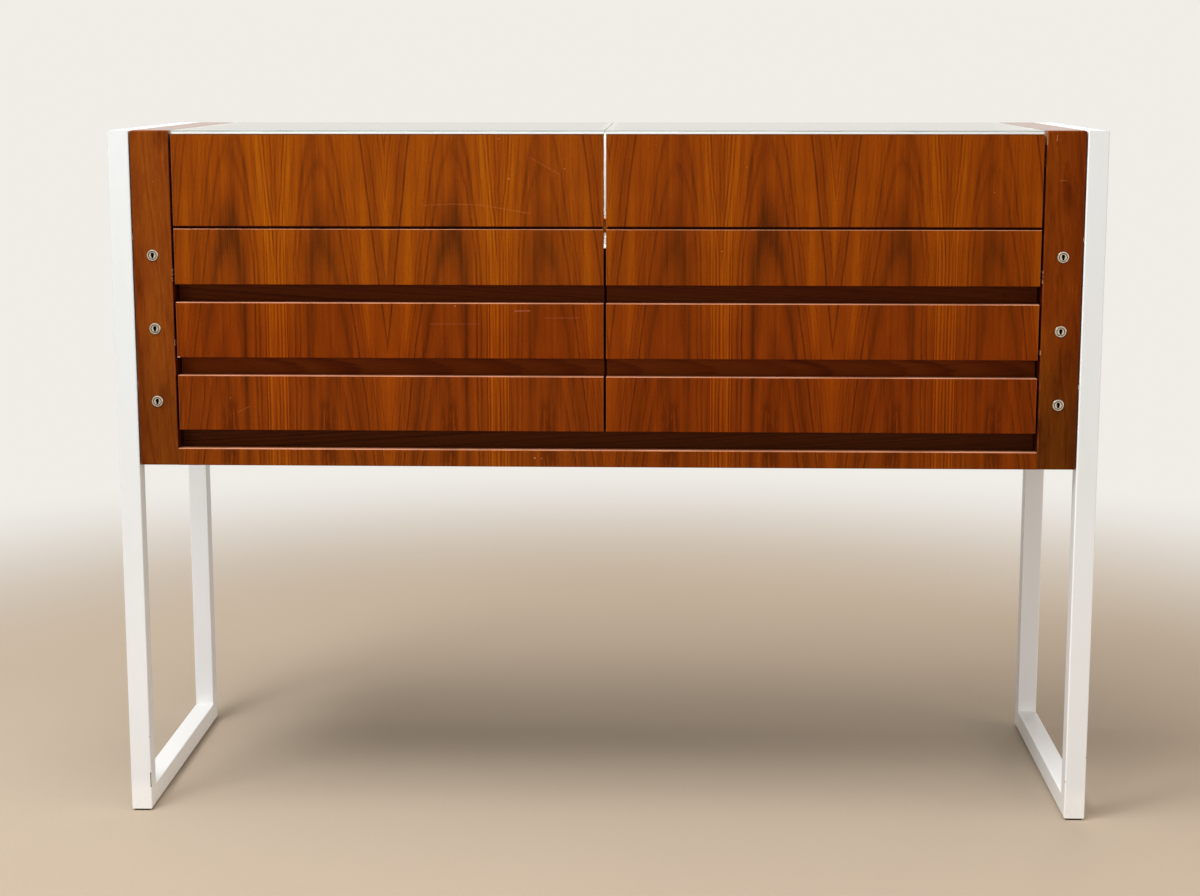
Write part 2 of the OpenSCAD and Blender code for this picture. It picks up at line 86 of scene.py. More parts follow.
class Shader:
    """One material under construction, called s in the functions that add to it.

    A value may be a number, a tuple or another node's socket.
    """

    def __init__(self, name):
        self.material = bpy.data.materials.new(name)
        self.material.use_nodes = True
        self.tree = self.material.node_tree
        self.tree.nodes.clear()
        self.output = self.tree.nodes.new("ShaderNodeOutputMaterial")
        coordinates = self.tree.nodes.new("ShaderNodeTexCoord")
        self.point = coordinates.outputs["Object"]
        self.x, self.y, self.z = self.parts(self.point)
        self.facing = self.parts(coordinates.outputs["Normal"])

    def feed(self, socket, value):
        """Links or sets one input."""
        if isinstance(value, bpy.types.NodeSocket):
            self.tree.links.new(value, socket)
        else:
            socket.default_value = value

    def node(self, kind, inputs, **settings):
        """Adds a node with its settings and its inputs, by name or by number."""
        node = self.tree.nodes.new(kind)
        for key, value in settings.items():
            setattr(node, key, value)
        for key, value in inputs.items():
            self.feed(node.inputs[key], value)
        return node

    def parts(self, vector):
        """The three numbers of a vector."""
        return tuple(self.node("ShaderNodeSeparateXYZ", {0: vector}).outputs)

    def vector(self, x, y, z):
        """A vector of three numbers."""
        return self.node("ShaderNodeCombineXYZ", {0: x, 1: y, 2: z}).outputs[0]

    def scaled(self, *values):
        """A vector of three numbers, each given by itself or as a (number, factor) pair."""
        return self.vector(*(self.product(*value) if isinstance(value, tuple) else value
                             for value in values))

    def math(self, operation, first, second=0.0):
        """One calculation on a number or two."""
        return self.node("ShaderNodeMath", {0: first, 1: second}, operation=operation).outputs[0]

    def total(self, first, *others):
        """Sum of several numbers."""
        for other in others:
            first = self.math("ADD", first, other)
        return first

    def product(self, first, *others):
        """Product of several numbers."""
        for other in others:
            first = self.math("MULTIPLY", first, other)
        return first

    def size(self, value):
        """A number without its sign."""
        return self.math("ABSOLUTE", value)

    def mm(self, axis):
        """The place along an axis, in millimetres."""
        return self.product({"x": self.x, "y": self.y, "z": self.z}[axis], PER_MM)

    def span(self, value, low, high, to_low=0.0, to_high=1.0, smooth=True):
        """Where value lies between low and high, as a share or between two other numbers."""
        kind = "SMOOTHSTEP" if smooth else "LINEAR"
        inputs = {"Value": value, "From Min": low, "From Max": high, "To Min": to_low, "To Max": to_high}
        return self.node("ShaderNodeMapRange", inputs, interpolation_type=kind).outputs[0]

    def noise(self, vector, scale=1.0, detail=2.0, roughness=0.5):
        """Soft noise from 0 to 1 at a point."""
        inputs = {"Vector": vector, "Scale": scale, "Detail": detail, "Roughness": roughness}
        return self.node("ShaderNodeTexNoise", inputs).outputs[0]

    def line_noise(self, value, scale):
        """Soft noise from 0 to 1 along a number."""
        inputs = {"W": value, "Scale": scale, "Detail": 2.0, "Roughness": 0.5}
        return self.node("ShaderNodeTexNoise", inputs, noise_dimensions="1D").outputs[0]

    def swing(self, value, width):
        """A value from 0 to 1 turned into one that swings about 0 over the given width."""
        return self.product(self.math("SUBTRACT", value, 0.5), width)

    def vectors(self, operation, first, second=(0.0, 0.0, 0.0), scale=1.0):
        """One calculation on vectors, which gives a vector or, for a length or product, a number."""
        inputs = {0: first, "Scale": scale} if operation == "SCALE" else {0: first, 1: second}
        outputs = self.node("ShaderNodeVectorMath", inputs, operation=operation).outputs
        return outputs["Value"] if operation in ("LENGTH", "DOT_PRODUCT") else outputs["Vector"]

    def near(self, lines):
        """Distance in millimetres, seen from the front, to the nearest of some (x, z, x, z) lines."""
        flat = self.vector(self.mm("x"), self.mm("z"), 0.0)
        nearest = FAR_AWAY
        for x0, z0, x1, z1 in lines:
            run = (x1 - x0, z1 - z0, 0.0)
            square = max(run[0] ** 2 + run[1] ** 2, DOT_SQUARE)
            offset = self.vectors("SUBTRACT", flat, (x0, z0, 0.0))
            share = self.span(self.vectors("DOT_PRODUCT", offset, run), 0.0, square, smooth=False)
            gap = self.vectors("SUBTRACT", offset, self.vectors("SCALE", run, scale=share))
            nearest = self.math("MINIMUM", nearest, self.vectors("LENGTH", gap))
        return nearest

    def marked(self, colour, marks):
        """Colour with worn marks laid over it, each (lines, half width, strength, colour)."""
        break_up = self.span(self.noise(self.point, scale=420.0), 0.3, 0.6, 0.35, 1.0)
        for lines, half_width, strength, tone in marks:
            share = self.span(self.near(lines), MARK_CORE * half_width, half_width, strength, 0.0)
            colour = self.mix(self.product(share, break_up), colour, linear(*tone))
        return colour

    def dice(self, value):
        """A steady random number from 0 to 1 for each whole number."""
        return self.node("ShaderNodeTexWhiteNoise", {"W": value}, noise_dimensions="1D").outputs[0]

    def specks(self, vector, scale=1.0):
        """Distance to the nearest of many scattered points."""
        return self.node("ShaderNodeTexVoronoi", {"Vector": vector, "Scale": scale}).outputs["Distance"]

    def ramp(self, value, stops):
        """Colour or brightness by value, from (place, colour) stops between 0 and 1."""
        node = self.node("ShaderNodeValToRGB", {0: value})
        elements = node.color_ramp.elements
        for _ in stops[2:]:
            elements.new(1.0)
        for element, (place, colour) in zip(elements, stops):
            element.position = place
            element.color = colour if hasattr(colour, "__len__") else (colour, colour, colour, 1.0)
        return node.outputs[0]

    def mix(self, share, first, second):
        """Blend of two colours."""
        return self.node("ShaderNodeMix", {0: share, 6: first, 7: second}, data_type="RGBA").outputs[2]

    def tint(self, share, first, second):
        """First colour multiplied by the second, to a share."""
        inputs = {0: share, 6: first, 7: second}
        return self.node("ShaderNodeMix", inputs, data_type="RGBA", blend_type="MULTIPLY").outputs[2]

    def lerp(self, share, first, second):
        """Blend of two numbers."""
        return self.node("ShaderNodeMix", {0: share, 2: first, 3: second}).outputs[0]

    def bump(self, height, distance):
        """Surface normal from a height map, where 1 stands a distance, in metres, above 0."""
        return self.node("ShaderNodeBump", {"Height": height, "Distance": distance}).outputs[0]

    def surface(self, **inputs):
        """Principled surface, with underscores in place of the spaces of its inputs' names."""
        named = {key.replace("_", " "): value for key, value in inputs.items()}
        return self.node("ShaderNodeBsdfPrincipled", named).outputs[0]

    def finish(self, shader):
        """Ends the material with a surface."""
        self.tree.links.new(shader, self.output.inputs["Surface"])
        return self.material


# Wood of all kinds

# Specular level, depth of the pores against the grain, height of the grain in metres, and fineness of
# the streaks in the colour and in the relief
WOOD_SHINE = 0.04
PORE_DEPTH = 0.8
GRAIN_HEIGHT = 0.00003
FINE_GRAIN = 2.2
FINEST_GRAIN = 3.0


def fibres(s, across, along, fineness=1.0):
    """Fine streaks along the grain, in millimetres across and along it."""
    return s.noise(s.scaled((across, 0.9 * fineness), (along, 0.022), 0.0), detail=4.0, roughness=0.65)


def pores(s, across, along, depth):
    """Short dark pores of the wood, 1 where there is one."""
    return s.span(s.specks(s.scaled((across, 1.6), (along, 0.16), (depth, 1.6))), 0.30, 0.12)


def ring_radius(s, aside, pith_depth):
    """Distance from the pith, which lies at a depth under the surface."""
    return s.math("SQRT", s.total(s.product(aside, aside), pith_depth ** 2))


def walnut_colour(s, shade, stops):
    """Colour by brightness, from the (shade, red, green, blue) stops of one wood."""
    return s.ramp(shade, [(place, linear(*colour)) for place, *colour in stops])


def grain_normal(s, across, along, pore):
    """Relief of the finest fibres and of the pores."""
    height = s.math("SUBTRACT", fibres(s, across, along, FINEST_GRAIN), s.product(pore, PORE_DEPTH))
    return s.bump(height, GRAIN_HEIGHT)


def satin(s, colour, normal, roughness):
    """Ends a wood material with a faint satin shine."""
    return s.finish(s.surface(Base_Color=colour, Roughness=roughness, Normal=normal,
                              Specular_IOR_Level=WOOD_SHINE))


# Front veneer

# Book-matched leaves, in millimetres, with down measured from the top of the fascias
TOP_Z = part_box("left_fascia")[1].z * PER_MM
BASE_RAIL_DOWN = TOP_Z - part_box("base_rail")[1].z * PER_MM
LEAF_W = 169.0
NARROW_SEAM_X = -500.0
ARCH_FROM_SEAM = 66.0
ARCH_DRIFT = 0.022
ARCH_HALF = 14.0
ARCH_WANDER = 8.0
PITH_DEPTH = 40.0
RING_TAPER = 0.085
LOW_TAPER = 0.02
TAPER_CHANGE = 190.0
LEAF_SHIFT = 3.0
RING_WAVE = 4.0
FINE_RING = 5.4
SEAM_LINE = 4.7
RING_LOW = -16.0
RING_HIGH = 124.0

# Where the wood changes along the fronts, in millimetres down from the top or across from the middle
LOWER_WOOD_DOWN = (190.0, 330.0)
STAINS_DOWN = (385.0, 425.0)
MIDDLE_ROW_TOP_DOWN = (240.0, 250.0)
MIDDLE_ROW_FOOT_DOWN = (352.0, 342.0)
RIGHT_HALF_X = (-60.0, 60.0)
CALM_END_X = (-590.0, -625.0)

# Brightness of the growth rings by their distance from the pith, on both sides of the arch
MEAN_RING = 0.42
INNER_RINGS = (
    (-16, 0.37), (-4, 0.38), (3, 0.42), (9, 0.40), (12, 0.27), (15, 0.45), (21, 0.45), (23.6, 0.35),
    (26.3, 0.20), (28.8, 0.30), (31.5, 0.42), (35.4, 0.47), (37.6, 0.35), (39, 0.47),
)
NARROW_RINGS = INNER_RINGS + (
    (42.2, 0.32), (43.4, 0.50), (50.6, 0.58), (51.6, 0.36), (52.5, 0.62), (58.4, 0.68), (59.4, 0.38),
    (60.2, 0.64), (62.4, 0.70), (63.3, 0.32), (64.6, 0.50), (67.0, 0.62), (67.8, 0.38), (69.0, 0.56),
    (72.6, 0.42), (73.6, 0.60), (124, 0.52),
)
WIDE_RINGS = INNER_RINGS + (
    (43.0, 0.50), (45.0, 0.30), (46.6, 0.52), (54, 0.57), (66, 0.53), (73.8, 0.51), (75.4, 0.26),
    (77.6, 0.45), (84, 0.40), (90, 0.47), (98.4, 0.55), (99.6, 0.29), (101, 0.46), (106, 0.52),
    (107, 0.36), (108.2, 0.52), (124, 0.48),
)

# Colours by brightness, as (shade, red, green, blue) stops, and tints laid over them
UPPER_FRONT_WOOD = (
    (0.0, 44, 21, 3), (0.2, 83, 38, 4), (0.42, 126, 57, 4), (0.6, 147, 74, 3), (0.95, 178, 106, 10),
)
LOWER_FRONT_WOOD = (
    (0.0, 39, 17, 2), (0.2, 79, 33, 3), (0.42, 120, 51, 4), (0.6, 144, 67, 3), (0.95, 176, 97, 9),
)
LIGHTER_TINT = (1.05, 1.02, 1.1, 1.0)
REDDER_TINT = (0.96, 0.85, 0.55, 1.0)
GREYER_TINT = (1.06, 1.20, 1.35, 1.0)
STAIN_TINT = linear(186, 180, 196)
PORE_TINT = linear(120, 96, 84)

# Wear of the fronts and stiles, in millimetres, as (lines, half width, strength, colour) marks
RUBBED = (206, 130, 80)
CHIPPED = (226, 176, 146)
FRONT_WEAR = (
    (((-274, 956.4, -233, 958.6), (-233, 958.6, -188, 957), (-188, 957, -150, 951), (-150, 951, -114, 945)),
     0.8, 0.24, RUBBED),
    (((-111, 1027.4, -90, 1015.5), (-90, 1015.5, -67, 1002.6), (-563, 640, -544, 649.6)),
     0.7, 0.26, RUBBED),
    (((-91, 786.7, -38, 786.8), (-266, 777, -190, 777.2)), 1.0, 0.16, (206, 120, 90)),
    (((-136, 797, -114, 797.4),), 1.4, 0.30, (220, 130, 110)),
    (((-574, 662, -574, 662), (-159, 1056, -159, 1056), (-144.5, 996.7, -144, 996),
      (-60.5, 1011.7, -60, 1011.4), (213, 1014, 213, 1014), (582, 977, 582, 977),
      (-227, 804.5, -227, 804), (176.5, 888, 176.5, 888), (-108, 571, -106.5, 571),
      (-97, 570.4, -97, 570.4)),
     1.0, 0.62, (232, 184, 144)),
    (((89, 1030, 89, 1030),), 1.2, 0.8, (60, 26, 8)),
    (((-654, 725, -651.5, 724.5),), 1.8, 0.9, (240, 206, 180)),
)
STILE_WEAR = (
    (((-657.6, 856, -657.6, 859), (-657.4, 850, -657.6, 852), (-659, 845, -657, 845.6),
      (-657.6, 841, -657.6, 842), (-657.6, 743, -657.6, 751), (657.6, 856, 657.6, 859),
      (657.4, 850, 657.6, 852), (657.6, 841, 657.4, 846), (657.6, 733, 657.6, 739)),
     0.9, 0.70, CHIPPED),
    (((657.6, 1048, 657.6, 1066),), 1.7, 0.60, (214, 150, 100)),
    (((-683.3, 991.4, -683.3, 991.4), (672, 1053, 672, 1062)), 0.8, 0.45, (222, 166, 120)),
    (((679, 994.6, 687, 994.8), (-682, 852.5, -682, 852.5)), 1.5, 0.26, (206, 120, 60)),
)


def flat_cut(s, across, down):
    """Ring distance, distance from the arch and place in a leaf, in millimetres, and the leaf's number."""
    from_seam = s.math("SUBTRACT", across, NARROW_SEAM_X)
    leaf = s.dice(s.math("FLOOR", s.math("DIVIDE", from_seam, LEAF_W)))
    place = s.math("PINGPONG", from_seam, LEAF_W)
    wander = s.swing(s.noise(s.scaled(leaf, (down, 0.006), 0.0), detail=1.0), ARCH_WANDER)
    aside = s.total(s.math("SUBTRACT", place, ARCH_FROM_SEAM), wander)
    aside = s.math("SUBTRACT", aside, s.product(down, ARCH_DRIFT))
    steep = s.product(s.math("MINIMUM", down, TAPER_CHANGE), RING_TAPER - LOW_TAPER)
    narrow_fall = s.total(steep, s.product(down, LOW_TAPER))
    wide_fall = s.product(down, RING_TAPER)
    fall = s.lerp(s.span(aside, -ARCH_HALF, ARCH_HALF), narrow_fall, wide_fall)
    wave = s.noise(s.scaled((place, 0.03), (down, 0.008), leaf))
    feather = s.span(s.size(aside), 4.0, 36.0, 11.0, 1.8)
    ring = s.total(
        s.math("SUBTRACT", ring_radius(s, aside, PITH_DEPTH), fall),
        s.swing(leaf, LEAF_SHIFT),
        s.swing(wave, RING_WAVE),
        s.swing(fibres(s, place, down), feather),
    )
    return ring, aside, place, leaf


def fine_rings(s, ring, down, aside):
    """Narrow dark lines between the main rings, stronger low down and far from the arch."""
    turn = s.total(s.math("DIVIDE", ring, FINE_RING), s.swing(s.line_noise(ring, 0.11), 1.6))
    late = s.math("POWER", s.math("FRACT", turn), 4.0)
    weight = s.span(s.dice(s.math("FLOOR", turn)), 0.35, 1.0, 0.0, 0.34, smooth=False)
    low = s.span(down, 120.0, 380.0, 0.75, 1.0)
    outer = s.span(s.size(aside), ARCH_HALF, 50.0, 0.15, 1.0)
    return s.product(late, weight, low, outer)


def seam_lines(s, place, down):
    """Straight lines beside the narrow seams, dark and light by turns, plainer low down."""
    turn = s.total(s.math("DIVIDE", place, SEAM_LINE), s.swing(s.line_noise(place, 0.09), 1.2))
    wave = s.math("SINE", s.product(turn, 2 * math.pi))
    weight = s.span(s.dice(s.math("FLOOR", turn)), 0.0, 1.0, 0.04, 0.15, smooth=False)
    return s.product(wave, weight, s.span(place, 32.0, 14.0), s.span(down, 60.0, 260.0, 0.4, 1.1))


def ring_profile(s, ring, rings):
    """Brightness at a ring distance, from (distance, brightness) stops."""
    share = s.span(ring, RING_LOW, RING_HIGH, smooth=False)
    return s.ramp(share, [((far - RING_LOW) / (RING_HIGH - RING_LOW), shade) for far, shade in rings])


def ring_calm(s, across, down, leaf):
    """Share by which the rings fade to their mean: in some leaves, low down and at the left end."""
    return s.total(
        s.span(down, 130.0, 180.0, 0.0, 0.18),
        s.span(leaf, 0.0, 1.0, 0.0, 0.25),
        s.span(down, 360.0, 420.0, 0.0, 0.22),
        s.span(across, *CALM_END_X, 0.0, 0.6),
    )


def ring_shade(s, ring, aside, place, down, calm):
    """Brightness of the front veneer's rings and streaks, from 0, dark, to 1, light."""
    narrow, wide = (ring_profile(s, ring, rings) for rings in (NARROW_RINGS, WIDE_RINGS))
    main = s.lerp(s.span(aside, -ARCH_HALF, ARCH_HALF), narrow, wide)
    main = s.total(s.lerp(calm, main, MEAN_RING), seam_lines(s, place, down))
    streaks = s.noise(s.scaled((place, 0.24), (down, 0.0035), 0.0), detail=3.0, roughness=0.6)
    bands = s.noise(s.scaled((place, 0.075), (down, 0.0025), 8.0), detail=1.0)
    clouds = s.noise(s.scaled((place, 0.022), (down, 0.012), 4.0))
    shade = s.math("SUBTRACT", main, fine_rings(s, ring, down, aside))
    return s.total(shade, s.swing(streaks, 0.34), s.swing(bands, 0.30), s.swing(clouds, 0.16))


def stained(s, colour, aside, place, down):
    """Faint grey stains in the cores of the arches, low on the fronts."""
    ragged = s.noise(s.scaled((place, 0.22), (down, 0.03), 2.0), detail=3.0)
    core = s.span(s.size(aside), 18.0, 8.0)
    share = s.product(core, s.span(down, *STAINS_DOWN), s.span(ragged, 0.38, 0.56), 0.75)
    return s.tint(share, colour, STAIN_TINT)


def front_tinted(s, colour, across, down):
    """The right half and the middle row a shade redder, the rest lighter, and the base rail greyer."""
    middle_row = s.product(s.span(down, *MIDDLE_ROW_TOP_DOWN), s.span(down, *MIDDLE_ROW_FOOT_DOWN))
    redder = s.math("MAXIMUM", middle_row, s.span(across, *RIGHT_HALF_X))
    colour = s.mix(redder, s.tint(1.0, colour, LIGHTER_TINT), s.tint(1.0, colour, REDDER_TINT))
    on_base_rail = s.span(down, BASE_RAIL_DOWN - 4.0, BASE_RAIL_DOWN - 2.0)
    return s.mix(on_base_rail, colour, s.tint(1.0, colour, GREYER_TINT))


def painted_edge_light(s, colour):
    """Painted highlights on the boards' upper edges and eased corners, shaded to the back, and painted
    shade on the lower edges.
    """
    # Painted highlight on the up-facing board tops, broken by noise, turning to painted shade further back
    up = s.span(s.facing[2], 0.25, 0.85)
    highlight_break = s.noise(s.scaled((s.x, 9.0), 0.0, (s.z, 30.0)), detail=3.0)
    behind = s.span(s.y, STILE_FACE + 0.002, STILE_FACE + 0.018)
    edge = s.mix(behind, linear(240, 176, 144), linear(132, 70, 42))
    colour = s.mix(s.product(up, s.span(highlight_break, 0.3, 0.7, 0.5, 0.9)), colour, edge)
    # Faint painted highlight on the eased corners
    flat = s.math("MAXIMUM", s.size(s.facing[0]), s.facing[2])
    eased = s.product(s.span(flat, 0.15, 0.4), s.span(flat, 0.97, 0.85))
    colour = s.mix(s.product(eased, 0.30), colour, linear(206, 130, 70))
    # Painted shade on the down-facing lower edges
    return s.mix(s.span(s.facing[2], -0.1, -0.5, 0.0, 0.7), colour, linear(50, 20, 6))


def front_veneer():
    """Grain-matched walnut veneer that runs down all fronts."""
    s = Shader("walnut_front_veneer")
    across, depth, height = s.mm("x"), s.mm("y"), s.mm("z")
    down = s.math("SUBTRACT", TOP_Z, height)
    ring, aside, place, leaf = flat_cut(s, across, down)
    shade = ring_shade(s, ring, aside, place, down, ring_calm(s, across, down, leaf))
    shade = s.total(shade, s.swing(fibres(s, place, down, FINE_GRAIN), 0.36))
    upper, lower = (walnut_colour(s, shade, stops) for stops in (UPPER_FRONT_WOOD, LOWER_FRONT_WOOD))
    colour = s.mix(s.span(down, *LOWER_WOOD_DOWN), upper, lower)
    colour = front_tinted(s, stained(s, colour, aside, place, down), across, down)
    pore = pores(s, across, down, depth)
    colour = s.tint(s.product(pore, 0.5), colour, PORE_TINT)
    colour = s.marked(painted_edge_light(s, colour), FRONT_WEAR)
    # Painted shadow along the fascias' top edges, under the glass
    shade_under_glass = s.span(height, TOP_Z - 2.2, TOP_Z - 0.8, 0.0, 0.75)
    colour = s.mix(shade_under_glass, colour, linear(52, 28, 14))
    # Painted shade on the boards' ends, which face the gaps
    colour = s.mix(s.span(s.size(s.facing[0]), 0.8, 0.95), colour, linear(96, 32, 8))
    roughness = s.span(fibres(s, across, down, 1.4), 0.2, 0.8, 0.33, 0.45, smooth=False)
    return satin(s, colour, grain_normal(s, across, down, pore), roughness)


# Plain-sawn wood of the other parts

# Colours by brightness, as (shade, red, green, blue) stops
LEFT_STILE_WOOD = (
    (0.0, 78, 34, 6), (0.25, 102, 46, 8), (0.5, 123, 58, 11), (0.75, 139, 70, 17), (1.0, 153, 83, 26),
)
RIGHT_STILE_WOOD = (
    (0.0, 66, 27, 2), (0.25, 88, 40, 3), (0.5, 105, 50, 6), (0.75, 121, 61, 9), (1.0, 137, 74, 15),
)
STRIP_WOOD = (
    (0.0, 54, 18, 3), (0.25, 76, 27, 4), (0.5, 94, 36, 5), (0.75, 106, 44, 7), (1.0, 122, 56, 10),
)
CASE_WOOD = (
    (0.0, 72, 30, 6), (0.25, 100, 45, 8), (0.5, 124, 58, 11), (0.75, 141, 70, 14), (1.0, 158, 86, 22),
)
# Very dark, to paint the shade on the inner sides and bottom where they show in the gaps and recesses
SHADED_INNER_WOOD = (
    (0.0, 26, 9, 3), (0.25, 38, 13, 4), (0.5, 52, 19, 6), (0.75, 64, 26, 8), (1.0, 80, 36, 12),
)
BIRCH_WOOD = ((0.0, 150, 112, 70), (0.3, 186, 150, 104), (0.6, 208, 176, 130), (1.0, 224, 196, 152))
PLAIN_PORE_TINT = linear(120, 100, 90)

# Pith depth in millimetres, widening of the rings along the grain, and shade before the rings darken it
PLAIN_PITH_DEPTH = 55.0
PLAIN_TAPER = 0.06
PLAIN_SHADE = 0.62

# Heights, in metres, over which the right stile turns redder and a stile turns darker to its foot
RIGHT_REDDER_Z = (0.62, 0.80)
STILE_FOOT_Z = (0.80, 0.60)

# Grain of the strips behind the boards
STRIP_GRAIN = {"spacing": 6.0, "contrast": 0.7, "sway": 5.0, "fineness": 1.2, "fine_contrast": 0.9}


def plain_rings(s, across, along, centre, spacing, seed, sway):
    """Number of growth rings from the pith out to a point. Its fraction is the place within a ring."""
    drift = s.swing(s.noise(s.scaled((along, 0.0035), seed, (across, 0.006))), 2 * sway)
    aside = s.total(s.math("SUBTRACT", across, centre), drift)
    radius = s.total(
        ring_radius(s, aside, PLAIN_PITH_DEPTH),
        s.product(along, PLAIN_TAPER),
        s.span(fibres(s, across, along), 0.25, 0.75, -1.0, 1.0, smooth=False),
    )
    return s.total(s.math("DIVIDE", radius, spacing), s.product(s.line_noise(radius, 0.05), 2.5))


def plain_wood(name, across_axis, along_axis, stops, centre, spacing=9.0, seed=0.0, rough=0.4,
               contrast=1.0, sway=26.0, fineness=FINE_GRAIN, fine_contrast=0.5):
    """Wood whose grain runs along one axis: its shader, colour, normal and roughness."""
    s = Shader(name)
    depth_axis = next(axis for axis in "xyz" if axis not in (across_axis, along_axis))
    across, along, depth = s.mm(across_axis), s.mm(along_axis), s.mm(depth_axis)
    turn = plain_rings(s, across, along, centre, spacing, seed, sway)
    late = s.span(s.math("FRACT", turn), 0.25, 1.0)
    weight = s.span(s.dice(s.math("FLOOR", turn)), 0.0, 1.0, 0.12, 0.55, smooth=False)
    clouds = s.noise(s.scaled((across, 0.012), (along, 0.004), seed))
    shade = s.total(
        s.math("SUBTRACT", PLAIN_SHADE, s.product(late, weight, contrast)),
        s.swing(fibres(s, across, along, fineness), fine_contrast),
        s.swing(clouds, 0.36),
    )
    pore = pores(s, across, along, depth)
    colour = s.tint(s.product(pore, 0.45), walnut_colour(s, shade, stops), PLAIN_PORE_TINT)
    return s, colour, grain_normal(s, across, along, pore), rough


def wood(*arguments, **settings):
    """Finished plain-sawn wood."""
    return satin(*plain_wood(*arguments, **settings))


def stile_tinted(s, colour, seed):
    """Dark and golden patches, a darker foot, and a right stile that is redder above its foot."""
    colour = s.tint(s.span(s.z, *STILE_FOOT_Z, 0.0, 0.8), colour, linear(206, 204, 196))
    upper_right = s.product(s.span(s.z, *RIGHT_REDDER_Z), s.span(s.x, -0.1, 0.1))
    colour = s.tint(upper_right, colour, (1.12, 0.87, 0.55, 1.0))
    patch = s.noise(s.scaled((s.x, 34.0), seed, (s.z, 10.0)), detail=3.0, roughness=0.6)
    colour = s.tint(s.span(patch, 0.5, 0.25), colour, linear(196, 178, 164))
    golden = s.tint(1.0, colour, (1.18, 1.32, 0.9, 1.0))
    return s.mix(s.span(patch, 0.48, 0.70, 0.0, 0.8), colour, golden)


def stile_wood(side, stops, centre):
    """Calm stile walnut; painted shade on its outer end and sides, painted highlight on its worn inner
    corner.
    """
    s, colour, normal, rough = plain_wood(
        f"{side}_stile_walnut", "x", "z", stops, centre,
        spacing=12.0, seed=centre, contrast=0.4, fineness=0.6, fine_contrast=0.85)
    colour = stile_tinted(s, colour, centre)
    # Painted shade towards the outer end, beside the gap to the leg
    outer = s.span(s.size(s.x), 0.690, 0.716)
    colour = s.tint(s.product(outer, 0.5), colour, linear(206, 180, 160))
    aside = s.size(s.facing[0])
    # Wear on the eased inner corner, with a painted highlight
    worn = s.noise(s.scaled(0.0, centre, (s.z, 26.0)), detail=4.0, roughness=0.6)
    worn_corner_highlight = s.product(s.span(aside, 0.10, 0.35), s.span(outer, 0.5, 0.0),
                            s.span(worn, 0.45, 0.70, 0.0, 0.5))
    colour = s.mix(worn_corner_highlight, colour, linear(172, 94, 50))
    # Painted shade on the side faces, which face the gaps
    colour = s.mix(s.span(aside, 0.65, 0.9), colour, linear(78, 26, 7))
    return satin(s, s.marked(colour, STILE_WEAR), normal, rough)


def cap_wood():
    """Lacquered walnut strips beside the glass, which mirror the pale room at a low angle."""
    s, colour, normal, rough = plain_wood(
        "case_cap_walnut", "x", "y", CASE_WOOD, 690.0, seed=5.0, rough=0.16, contrast=0.5, sway=8.0)
    return s.finish(s.surface(Base_Color=colour, Roughness=rough, Normal=normal))


def strip_wood(name, stops, seed):
    """Calm wood of the strips behind the boards, its grain level."""
    return wood(name, "z", "x", stops, 700.0, seed=seed, **STRIP_GRAIN)


def fascia_rail_wood():
    """Dark walnut of the rail behind the fascias, with painted light where it shows in the centre slit."""
    stops = dimmed(STRIP_WOOD, 0.9, 0.7, 0.9)
    s, colour, normal, rough = plain_wood(
        "fascia_rail_walnut", "z", "x", stops, 700.0, seed=19.0, **STRIP_GRAIN)
    # Painted light on the rail where it shows in the centre slit, which the lamps hardly reach
    painted_light_in_slit = s.span(s.size(s.x), 0.005, 0.003)
    return satin(s, s.mix(painted_light_in_slit, colour, linear(252, 142, 50)), normal, rough)


def panel_wood(name, across_axis, centre, spacing, seed):
    """Upright-grained walnut of the outer sides and the back."""
    return wood(name, across_axis, "z", CASE_WOOD, centre, spacing=spacing, seed=seed,
                contrast=0.6, sway=14.0)


def dimmed(stops, red_share, green_share, blue_share):
    """Wood stops with each colour taken to a share of its value."""
    return tuple((place, red_share * red, green_share * green, blue_share * blue)
                 for place, red, green, blue in stops)


# Metal, paint, glass and linings

# Paint knocked off the legs, in millimetres as seen from the front, with the colours that show there
LEG_CHIPS = (
    (((-718.8, 39, -718.8, 62),), linear(34, 24, 18)),
    (((-718.6, 121, -718.6, 121.6), (749.6, 101, 749.6, 102.6), (718.6, 62, 718.6, 62.6)),
     linear(140, 112, 90)),
)

# Paint colours by height, the upper and lower ones as pairs that drift into each other, with painted light:
# the paint is lighter low down and lightest on the sled rails, and the right leg's corner has a painted
# highlight
UPPER_PAINT = (linear(226, 233, 238), linear(223, 230, 233))
LOWER_PAINT = (linear(236, 239, 244), linear(233, 236, 239))
LIT_FOOT_PAINT = linear(244, 246, 247)
FOOT_DIRT = linear(190, 182, 168)
CORNER_HIGHLIGHT = linear(255, 255, 255)

# Height of the paint's uneven skin, in metres
PAINT_SKIN = 0.00003


def paint_chipped(s, colour):
    """Paint knocked off the front edges of the legs."""
    front = s.span(s.y, STILE_FACE + 0.0022, STILE_FACE + 0.0014)
    ragged = s.swing(s.noise(s.point, scale=500.0, detail=3.0), 0.8)
    for lines, tone in LEG_CHIPS:
        chip = s.span(s.total(s.near(lines), ragged), 0.45, 0.7, 1.0, 0.0)
        colour = s.mix(s.product(chip, front), colour, tone)
    return colour


